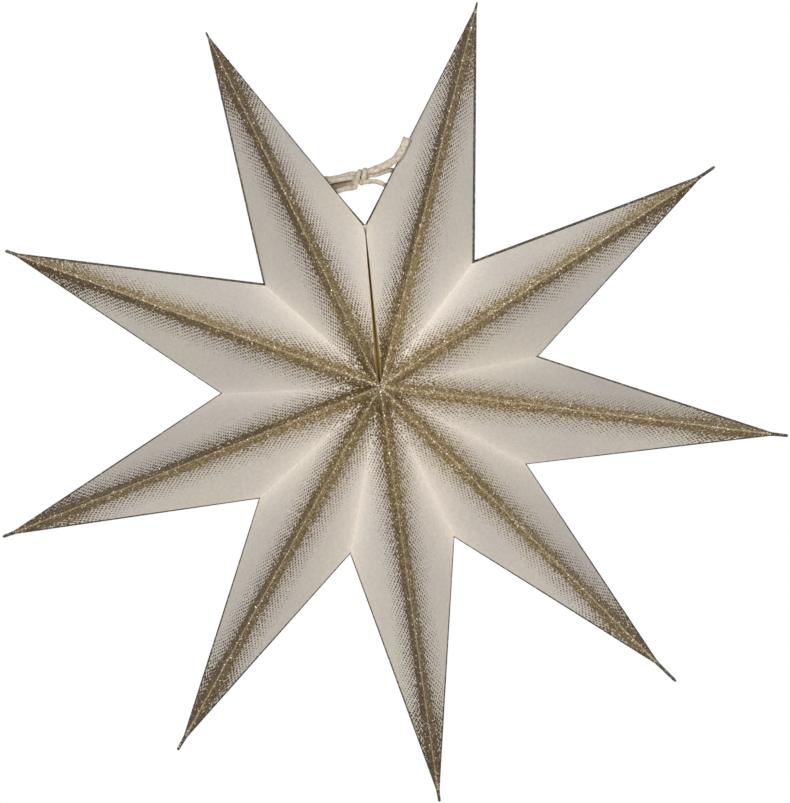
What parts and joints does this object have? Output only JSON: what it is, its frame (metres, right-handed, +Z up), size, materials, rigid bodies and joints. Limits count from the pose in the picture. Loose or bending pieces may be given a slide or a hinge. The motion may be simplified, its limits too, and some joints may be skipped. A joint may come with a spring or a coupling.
{
  "type": "paper star",
  "caption": "Hanging star of folded paper pockets glued side by side, with a gold glitter print on the ridges, tied at the top by a cotton cord.",
  "frame": {"origin": "the knot of the cord that ties the two end points together, from which the star hangs", "axes": "+Z up, +Y from the front of the star to its back, +X to the right seen from the front"},
  "size_m": [0.5776, 0.1606, 0.5893],
  "materials": {
    "paper": "matte off-white paper, slightly mottled",
    "glitter": "gold glitter on glue, printed in a fading halftone",
    "cord": "natural cotton cord"
  },
  "bodies": {
    "root": {"point_1": "paper", "point_2": "paper", "point_3": "paper", "point_4": "paper", "point_5": "paper", "point_6": "paper", "point_7": "paper", "point_8": "paper", "point_9": "paper", "glitter_1": "glitter", "glitter_2": "glitter", "glitter_3": "glitter", "glitter_4": "glitter", "glitter_5": "glitter", "glitter_6": "glitter", "glitter_7": "glitter", "glitter_8": "glitter", "glitter_9": "glitter", "tie_cord": "cord"}
  },
  "joints": []
}
